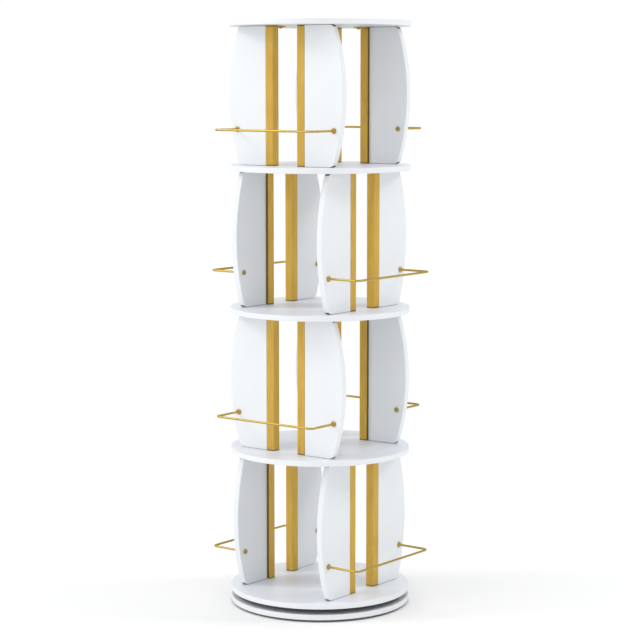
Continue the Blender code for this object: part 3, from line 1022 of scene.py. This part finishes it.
def tab_mesh(sizes):
    """A tab in its post's place: it points to the axis, and its underside slopes up to its tip."""
    root = sizes.post_edge - (POST_HIGH.x - POST_LOW.x) / 2
    tip = -(POST_HIGH.x - POST_LOW.x) / 2 - sizes.tab_length
    half = sizes.tab_width / 2
    corners = [
        (root, -half, 0.0),
        (root, half, 0.0),
        (tip, half, sizes.tab_corner),
        (tip, -half, sizes.tab_corner),
    ]
    plan = rounded(corners, ROUNDING_STEPS, closed=True)
    top = upright_height(sizes) - sizes.tab_drop
    rings = [
        [Vector((x, y, tab_underside(sizes, x))) for x, y in plan],
        [Vector((x, y, top)) for x, y in plan],
    ]
    mesh = eased(skin("top_tab", rings), TAB_EDGE)
    spot = tab_screw_place(sizes)
    radius = sizes.tab_screw_shank + sizes.fit_gap / 2
    hole = peg_mesh(radius, spot.z - TAB_HOLE_REACH, spot.z + TAB_HOLE_REACH)
    return combined(mesh, moved(hole, Matrix.Translation((spot.x, 0.0, 0.0))), "DIFFERENCE")


def tab_underside(sizes, across):
    """Height of a tab's underside at a distance outwards from its post's middle."""
    half = (POST_HIGH.x - POST_LOW.x) / 2
    share = (across + half + sizes.tab_length) / sizes.tab_length
    thickness = sizes.tab_end + share * (sizes.tab_root - sizes.tab_end)
    return upright_height(sizes) - sizes.tab_drop - thickness


def tab_screw_place(sizes):
    """The middle of the face that a tab's screw bears on."""
    across = sizes.tab_screw_inset - sizes.tab_length - (POST_HIGH.x - POST_LOW.x) / 2
    return Vector((across, 0.0, tab_underside(sizes, across)))


def tab_screw_mesh(sizes):
    """A round-headed screw that points up, with the face of its head at height 0."""
    rise = sizes.tab_screw_rise
    tip = upright_height(sizes) + sizes.pin_length - tab_screw_place(sizes).z + rise
    head = sizes.tab_screw_head
    corners = [
        (DOME_FLAT * head, 0.0, 0.0),
        (head, 0.0, DOME_SLOPE * rise),
        (head, rise, DOME_EDGE),
        (sizes.tab_screw_shank, rise, 0.0),
        (sizes.tab_screw_shank, tip - LONG_TIP_CHAMFER, 0.0),
        (sizes.tab_screw_shank - LONG_TIP_CHAMFER, tip, 0.0),
    ]
    outline = rounded(corners, ROUNDING_STEPS)
    return socketed("tab_screw", outline, sizes.screw_socket, TAB_SOCKET_DEPTH)


class BOOKCASE_OT_tabs(bpy.types.Operator):
    """Makes the four tabs that hold the top panel, and their screws"""

    bl_idname = "bookcase.tabs"
    bl_label = "Tabs of the top panel"
    bl_options = {"REGISTER", "UNDO"}

    def execute(self, context):
        sizes = context.scene.bookcase_sizes
        tab = finished(tab_mesh(sizes), finish_of(context, "gold_lacquer"))
        screw = finished(tab_screw_mesh(sizes), finish_of(context, "black_steel"))
        bearing = tab_screw_place(sizes)
        for tier, side, half, name in halves():
            if tier == TIER_COUNT - 1:
                foot = tier_floor(tier) + sizes.fit_gap
                along = half * post_centre()
                turn = side * QUARTER
                nodes = ["post_" + name]
                place = on_screen(side, post_middle(), along, foot)
                put("top_tab_" + name, tab, "carousel", nodes, place, turn)
                head = bearing.z - sizes.tab_screw_rise - TAB_HEAD_GAP
                place = on_screen(side, post_middle() + bearing.x, along, foot + head)
                put("tab_screw_" + name, screw, "carousel", nodes, place, turn)
        return {"FINISHED"}


# Rails and cap screws


def collar_outline(sizes):
    """(distance from the axis, radius) from a rail's stud over its collar to its rod."""
    face = BOARD_HIGH.x + sizes.fit_gap
    stud_end = BOARD_LOW.x + sizes.cap_shank + 2 * sizes.fit_gap
    rim = face + sizes.collar_rim
    corners = [
        (stud_end, sizes.stud_radius, 0.0),
        (face, sizes.stud_radius, 0.0),
        (face, sizes.collar_radius, COLLAR_FACE_EDGE),
        (rim, sizes.collar_radius, COLLAR_RIM_EDGE),
        (rim + COLLAR_STEP, sizes.collar_radius * COLLAR_WAIST, COLLAR_STEP_EDGE),
        (rim + sizes.collar_neck, sizes.rod_radius, COLLAR_NECK_EDGE),
        (rim + 2 * sizes.collar_neck, sizes.rod_radius, 0.0),
    ]
    return rounded(corners, ROUNDING_STEPS)


def rail_stations(sizes):
    """(place, direction, radius) along a whole rail, in the plane of its rod."""
    leg = rail_leg(sizes)
    ahead = Vector((1.0, 0.0, 0.0))
    half = [(Vector((x, leg, 0.0)), ahead, radius) for x, radius in collar_outline(sizes)]
    bend = sizes.rail_bend
    reach = RAIL_HIGH.x - sizes.rod_radius
    centre = Vector((reach - bend, leg - bend, 0.0))
    for step in range(BEND_STEPS + 1):
        outward = polar(1.0, QUARTER * (1 - step / BEND_STEPS))
        along = Vector((outward.y, -outward.x, 0.0))
        half.append((centre + bend * outward, along, sizes.rod_radius))
    mirrored = [
        (Vector((spot.x, -spot.y, 0.0)), Vector((-along.x, along.y, 0.0)), radius)
        for spot, along, radius in reversed(half)
    ]
    return half + mirrored


def rail_mesh(sizes):
    """A U-shaped rod with a collar and a stud at each end, as one skin."""
    rings = []
    for spot, along, radius in rail_stations(sizes):
        beside = Vector((-along.y, along.x, 0.0))
        ring = []
        for step in range(ROD_STEPS):
            turn = 2 * math.pi * step / ROD_STEPS
            ring.append(
                spot + radius * (math.cos(turn) * beside + math.sin(turn) * Vector((0, 0, 1)))
            )
        rings.append(ring)
    return skin("wire_rail", rings)


class BOOKCASE_OT_rails(bpy.types.Operator):
    """Makes the eight U-shaped gold rails with their collars"""

    bl_idname = "bookcase.rails"
    bl_label = "Rails"
    bl_options = {"REGISTER", "UNDO"}

    def execute(self, context):
        sizes = context.scene.bookcase_sizes
        mesh = finished(rail_mesh(sizes), finish_of(context, "gold_metal"))
        collar_end = BOARD_HIGH.x + sizes.fit_gap + sizes.collar_rim + sizes.collar_neck
        partly(mesh, finish_of(context, "aged_gold"), lambda face: face.center.x < collar_end)
        for tier, side in screens():
            name = f"{tier + 1}_{SIDE_NAMES[side]}"
            place = (0.0, 0.0, tier_floor(tier) + rail_height())
            nodes = ["rail_" + name]
            turn = side * QUARTER
            put("wire_rail_" + name, mesh, "carousel", nodes, place, turn)
        return {"FINISHED"}


def cap_mesh(sizes):
    """A cap screw that points up, with the face of its head at height 0 and a key socket in it."""
    thickness = sizes.cap_thickness
    corners = [
        (CAP_DISH * sizes.cap_radius, CAP_DISH_DEPTH, 0.0),
        (CAP_LIP * sizes.cap_radius, 0.0, 0.0),
        (sizes.cap_radius, 0.0, sizes.cap_rounding),
        (sizes.cap_radius, thickness, CAP_BACK_EDGE),
        (sizes.stud_radius, thickness, 0.0),
        (sizes.stud_radius, thickness + sizes.cap_shank - TIP_CHAMFER, 0.0),
        (sizes.stud_radius - TIP_CHAMFER, thickness + sizes.cap_shank, 0.0),
    ]
    outline = rounded(corners, ROUNDING_STEPS)
    return socketed("cap_screw", outline, sizes.cap_socket, CAP_SOCKET * thickness)


class BOOKCASE_OT_cap_screws(bpy.types.Operator):
    """Makes the sixteen gold cap screws that hold the rails from inside"""

    bl_idname = "bookcase.cap_screws"
    bl_label = "Cap screws"
    bl_options = {"REGISTER", "UNDO"}

    def execute(self, context):
        sizes = context.scene.bookcase_sizes
        mesh = moved(cap_mesh(sizes), Matrix.Rotation(QUARTER, 4, "Y"))
        mesh = finished(mesh, finish_of(context, "bronze"))
        face = BOARD_LOW.x - sizes.fit_gap - sizes.cap_thickness
        for tier, side, half, name in halves():
            height = tier_floor(tier) + rail_height()
            place = on_screen(side, face, half * rail_leg(sizes), height)
            nodes = [f"rail_{tier + 1}_{SIDE_NAMES[side]}"]
            put("cap_screw_" + name, mesh, "carousel", nodes, place, side * QUARTER)
        return {"FINISHED"}


# Bearing


def race_outline(sizes, low, high, body_low, body_high):
    """Section of a race. body_low is the height of its back, body_high of its grooved front."""
    into = math.copysign(1.0, body_low - body_high)
    ball_height = (CAGE_LOW.z + CAGE_HIGH.z) / 2
    mouth = sizes.ball_radius + GROOVE_MARGIN
    bed_height = ball_height + into * (sizes.ball_radius + BED_GAP)
    track = sizes.track_radius
    corners = [
        (low, body_low, RACE_EDGE),
        (high, body_low, RACE_EDGE),
        (high, body_high, RACE_EDGE),
        (track + mouth, body_high, GROOVE_EDGE),
        (track + mouth / 2, bed_height, GROOVE_EDGE),
        (track - mouth / 2, bed_height, GROOVE_EDGE),
        (track - mouth, body_high, GROOVE_EDGE),
        (low, body_high, RACE_EDGE),
    ]
    return rounded(corners, RACE_ROUNDING_STEPS, closed=True)


def flange_screws(names):
    """Each screw of a race, and the middle of its head's face, from its CAD node's box."""
    for name in names:
        low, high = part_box(name)
        yield name, Vector(((low.x + high.x) / 2, (low.y + high.y) / 2, low.z))


def round_ball(radius):
    """A ball of rings between two poles. Its corners come in the same order each run."""
    angles = [math.pi * ring / BALL_RINGS for ring in range(1, BALL_RINGS)]
    outline = [(radius * math.sin(angle), -radius * math.cos(angle)) for angle in angles]
    mesh = turned("bearing_ball", outline, BALL_STEPS)
    bm = bmesh.new()
    bm.from_mesh(mesh)
    bpy.data.meshes.remove(mesh)
    ends = [face for face in bm.faces if len(face.verts) > 4]
    for pole in bmesh.ops.poke(bm, faces=ends)["verts"]:
        pole.co.z = math.copysign(radius, pole.co.z)
    return mesh_from(bm, "bearing_ball")


class BOOKCASE_OT_bearing(bpy.types.Operator):
    """Makes the turntable bearing: two races, the ball cage and its balls"""

    bl_idname = "bookcase.bearing"
    bl_label = "Ball bearing"
    bl_options = {"REGISTER", "UNDO"}

    def execute(self, context):
        sizes = context.scene.bookcase_sizes
        steel = finish_of(context, "ringed_steel")
        for name, body, flange in (
            ("lower_race", "base", sizes.lower_flange),
            ("upper_race", "carousel", sizes.upper_flange),
        ):
            low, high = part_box(name)
            back, front = (low.z, high.z) if body == "base" else (high.z, low.z)
            outline = race_outline(sizes, sizes.track_radius - flange, high.x, back, front)
            mesh = finished(turned(name + "_ring", outline, RACE_STEPS, closed=True), steel)
            put(name + "_ring", mesh, body, [name])
        self.make_cage(context, sizes)
        return {"FINISHED"}

    def make_cage(self, context, sizes):
        """The flat ring with its pockets, and a ball in each."""
        height = (CAGE_LOW.z + CAGE_HIGH.z) / 2
        half = sizes.cage_thickness / 2
        inner = sizes.track_radius - sizes.cage_half_width
        outer = sizes.track_radius + sizes.cage_half_width
        outline = [(inner, -half), (outer, -half), (outer, half), (inner, half)]
        mesh = turned("cage_ring", outline, RACE_STEPS, closed=True)
        # Turned by half a facet, so that no edge runs through a pocket's middle
        mesh = moved(mesh, Matrix.Rotation(math.pi / RACE_STEPS, 4, "Z"))
        pocket = sizes.ball_radius + POCKET_GAP
        spots = [
            polar(sizes.track_radius, 2 * math.pi * ball / BALL_COUNT)
            for ball in range(BALL_COUNT)
        ]
        pockets = [
            moved(peg_mesh(pocket, -2 * half, 2 * half), Matrix.Translation(spot))
            for spot in spots
        ]
        mesh = combined(mesh, gathered("pockets", pockets), "DIFFERENCE")
        mesh = finished(mesh, finish_of(context, "black_steel"))
        put("cage_ring", mesh, "ball_cage", ["ball_cage"], (0.0, 0.0, height))
        ball_mesh = finished(round_ball(sizes.ball_radius), finish_of(context, "polished_steel"))
        for index, spot in enumerate(spots):
            name = f"bearing_ball_{index + 1}"
            place = spot + Vector((0.0, 0.0, height))
            put(name, ball_mesh, "ball_cage", ["ball_cage"], place)


def screw_mesh(sizes, reach):
    """A countersunk screw that points up, with its head's face at height 0."""
    outline = [
        (sizes.screw_head, 0.0),
        (sizes.screw_head, HEAD_RIM),
        (sizes.screw_shank, sizes.screw_sink),
        (sizes.screw_shank, reach - TIP_CHAMFER),
        (sizes.screw_shank - TIP_CHAMFER, reach),
    ]
    return socketed("bearing_screw", outline, sizes.screw_socket, SCREW_SOCKET_DEPTH)


class BOOKCASE_OT_screws(bpy.types.Operator):
    """Makes the countersunk screws that hold the two races"""

    bl_idname = "bookcase.screws"
    bl_label = "Bearing screws"
    bl_options = {"REGISTER", "UNDO"}

    def execute(self, context):
        sizes = context.scene.bookcase_sizes
        finish = finish_of(context, "black_steel")
        for kind, body in (("base_screw", "base"), ("shelf_screw", "carousel")):
            names = [f"{kind}_{index + 1}" for index in range(SCREW_COUNT)]
            low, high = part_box(names[0])
            mesh = finished(screw_mesh(sizes, high.z - low.z), finish)
            for name, spot in flange_screws(names):
                put(name + "_black", mesh, body, [name], spot)
        return {"FINISHED"}


class BOOKCASE_OT_feet(bpy.types.Operator):
    """Makes the four rubber feet with their pegs"""

    bl_idname = "bookcase.feet"
    bl_label = "Feet"
    bl_options = {"REGISTER", "UNDO"}

    def execute(self, context):
        sizes = context.scene.bookcase_sizes
        shoulder = sizes.foot_height - sizes.fit_gap
        tip = FOOT_HIGH.z
        corners = [
            (SOLE_FLAT * sizes.foot_radius, 0.0, 0.0),
            (sizes.foot_radius, 0.0, SOLE_EDGE),
            (sizes.foot_radius, shoulder, SHOULDER_EDGE),
            (sizes.foot_peg, shoulder, 0.0),
            (sizes.foot_peg, tip - LONG_TIP_CHAMFER, 0.0),
            (sizes.foot_peg - LONG_TIP_CHAMFER, tip, 0.0),
        ]
        mesh = turned("rubber_foot", rounded(corners, ROUNDING_STEPS), TURNED_STEPS)
        mesh = finished(mesh, finish_of(context, "rubber"))
        for index in range(FOOT_COUNT):
            name = f"foot_{index + 1}"
            low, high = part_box(name)
            spot = ((low.x + high.x) / 2, (low.y + high.y) / 2, low.z)
            put("rubber_" + name, mesh, "base", [name], spot)
        return {"FINISHED"}


# Stage


def lay_floor(studio):
    """A large round floor in a pale matt finish."""
    angles = [2 * math.pi * step / RIM_STEPS for step in range(RIM_STEPS)]
    radii = (studio.floor_radius, *FLOOR_RINGS)
    rings = [[polar(radius, angle) for angle in angles] for radius in radii]
    bm = bmesh.new()
    loops = [[bm.verts.new(point) for point in ring] for ring in rings]
    for outer, inner in zip(loops, loops[1:]):
        for index, _ in enumerate(outer):
            after = (index + 1) % RIM_STEPS
            bm.faces.new((outer[index], outer[after], inner[after], inner[index]))
    bm.faces.new(loops[-1])
    floor = held(mesh_from(bm, "studio_floor"))
    finish, tree, shader = new_finish("studio_floor", Roughness=0.9)
    shader.inputs["Specular IOR Level"].default_value = 0.2
    cloud = grain(tree, node(tree, "ShaderNodeTexCoord").outputs["Object"], 3.0)
    paler = [min(1.0, 1.01 * part) for part in studio.floor_colour]
    wire(tree, shader, Base_Color=blended(tree, cloud, studio.floor_colour, paler))
    floor.data.materials.append(finish)


def light_room(studio):
    """A white room with a pale ring at eye height, soft screens round it and one above."""
    world = bpy.data.worlds.new("studio_room")
    world.use_nodes = True
    tree = world.node_tree
    direction = node(tree, "ShaderNodeTexCoord").outputs["Generated"]
    height = node(tree, "ShaderNodeSeparateXYZ", {0: direction}).outputs["Z"]
    around = node(tree, "ShaderNodeTexGradient", {0: direction}, gradient_type="RADIAL")
    screens_round = node(tree, "ShaderNodeValToRGB", {"Fac": around.outputs["Fac"]})
    ramp = screens_round.color_ramp
    ramp.interpolation = "EASE"
    brightest = max(studio.screens)
    places = [FIRST_SCREEN + SCREEN_STEP * index for index, _ in enumerate(studio.screens)]
    stops = sorted(
        ((degrees / 360 + 0.5) % 1.0, light) for degrees, light in zip(places, studio.screens)
    )
    stops = [(0.0, stops[0][1]), *stops, (1.0, stops[0][1])]
    while len(ramp.elements) < len(stops):
        ramp.elements.new(0.5)
    for element, (place, light) in zip(ramp.elements, stops):
        element.position = place
        element.color = (*[light / brightest] * 3, 1.0)
    side = node(
        tree,
        "ShaderNodeMath",
        {0: screens_round.outputs["Color"], 1: brightest},
        operation="MULTIPLY",
    ).outputs[0]
    ring = faded(tree, height, *RING_FADE)
    roof = faded(tree, height, *ROOF_FADE)
    lit = lerped(tree, roof, side, studio.roof_light)
    lit = lerped(tree, ring, studio.ring_light, lit)
    background = tree.nodes["Background"]
    background.inputs["Color"].default_value = (1.0, 1.0, 1.0, 1.0)
    tree.links.new(lit, background.inputs["Strength"])
    bpy.context.scene.world = world


def faded(tree, value, low, high):
    """0 below low, 1 above high, with a soft change between."""
    inputs = {"Value": value, "From Min": low, "From Max": high}
    return node(
        tree, "ShaderNodeMapRange", inputs, interpolation_type="SMOOTHSTEP"
    ).outputs["Result"]


def lerped(tree, share, first, second):
    """A number that goes from first to second as the share goes from 0 to 1."""
    return node(tree, "ShaderNodeMix", {0: share, 2: first, 3: second}).outputs[0]


def hang_soft_box(studio, name, degrees, power):
    """A square soft light, so many degrees round from the right, that shines down at the middle."""
    data = bpy.data.lights.new(name, "AREA")
    data.shape = "SQUARE"
    data.size = studio.box_size
    data.energy = power
    lamp = bpy.data.objects.new(name, data)
    aim = Vector((0.0, 0.0, (CAD_BOX[0][2] + CAD_BOX[1][2]) / 2))
    rise = studio.box_rise
    away = polar(math.cos(rise), math.radians(degrees), math.sin(rise))
    lamp.location = aim + studio.box_distance * away
    lamp.rotation_euler = (-away).to_track_quat("-Z", "Y").to_euler()
    bpy.context.scene.collection.objects.link(lamp)


def set_camera(studio):
    data = bpy.data.cameras.new("camera")
    data.lens = studio.lens
    data.clip_end = 200.0
    camera = bpy.data.objects.new("camera", data)
    camera.location = studio.camera_place
    look = Vector(studio.camera_aim) - Vector(studio.camera_place)
    camera.rotation_euler = look.to_track_quat("-Z", "Y").to_euler()
    bpy.context.scene.collection.objects.link(camera)
    bpy.context.scene.camera = camera


class BOOKCASE_OT_stage(bpy.types.Operator):
    """Lays the floor, sets the soft studio lights and places the camera"""

    bl_idname = "bookcase.stage"
    bl_label = "Floor, lights and camera"
    bl_options = {"REGISTER", "UNDO"}

    def execute(self, context):
        studio = context.scene.bookcase_studio
        lay_floor(studio)
        light_room(studio)
        hang_soft_box(studio, "left_soft_box", LEFT_BOX, studio.left_box)
        hang_soft_box(studio, "right_soft_box", RIGHT_BOX, studio.right_box)
        set_camera(studio)
        context.scene.view_settings.view_transform = "Standard"
        context.scene.view_settings.look = "None"
        return {"FINISHED"}


OPERATORS = (
    BOOKCASE_OT_shelves,
    BOOKCASE_OT_base_plate,
    BOOKCASE_OT_boards,
    BOOKCASE_OT_posts,
    BOOKCASE_OT_tabs,
    BOOKCASE_OT_rails,
    BOOKCASE_OT_cap_screws,
    BOOKCASE_OT_bearing,
    BOOKCASE_OT_screws,
    BOOKCASE_OT_feet,
    BOOKCASE_OT_stage,
)


class BOOKCASE_PT_panel(bpy.types.Panel):
    """Lists the bookcase's pieces and the values that shape them"""

    bl_idname = "BOOKCASE_PT_panel"
    bl_label = "Revolving bookcase"
    bl_space_type = "VIEW_3D"
    bl_region_type = "UI"
    bl_category = "Bookcase"

    def draw(self, context):
        for operator in OPERATORS:
            self.layout.operator(operator.bl_idname)
        for title, group in (
            ("Sizes", context.scene.bookcase_sizes),
            ("Colours", context.scene.bookcase_colours),
            ("Studio", context.scene.bookcase_studio),
        ):
            box = self.layout.box()
            box.label(text=title)
            for name in group.__annotations__:
                box.prop(group, name)


GROUPS = {
    "bookcase_sizes": BookcaseSizes,
    "bookcase_colours": BookcaseColours,
    "bookcase_studio": StudioSetup,
}


def register():
    for group in GROUPS.values():
        bpy.utils.register_class(group)
    for name, group in GROUPS.items():
        setattr(bpy.types.Scene, name, bpy.props.PointerProperty(type=group))
    for shown in (*OPERATORS, BOOKCASE_PT_panel):
        bpy.utils.register_class(shown)


def unregister():
    for shown in reversed((*OPERATORS, BOOKCASE_PT_panel)):
        bpy.utils.unregister_class(shown)
    for name, group in GROUPS.items():
        delattr(bpy.types.Scene, name)
        bpy.utils.unregister_class(group)


def main():
    register()
    for operator in OPERATORS:
        getattr(bpy.ops.bookcase, operator.bl_idname.split(".")[1])()


if __name__ == "__main__":
    main()
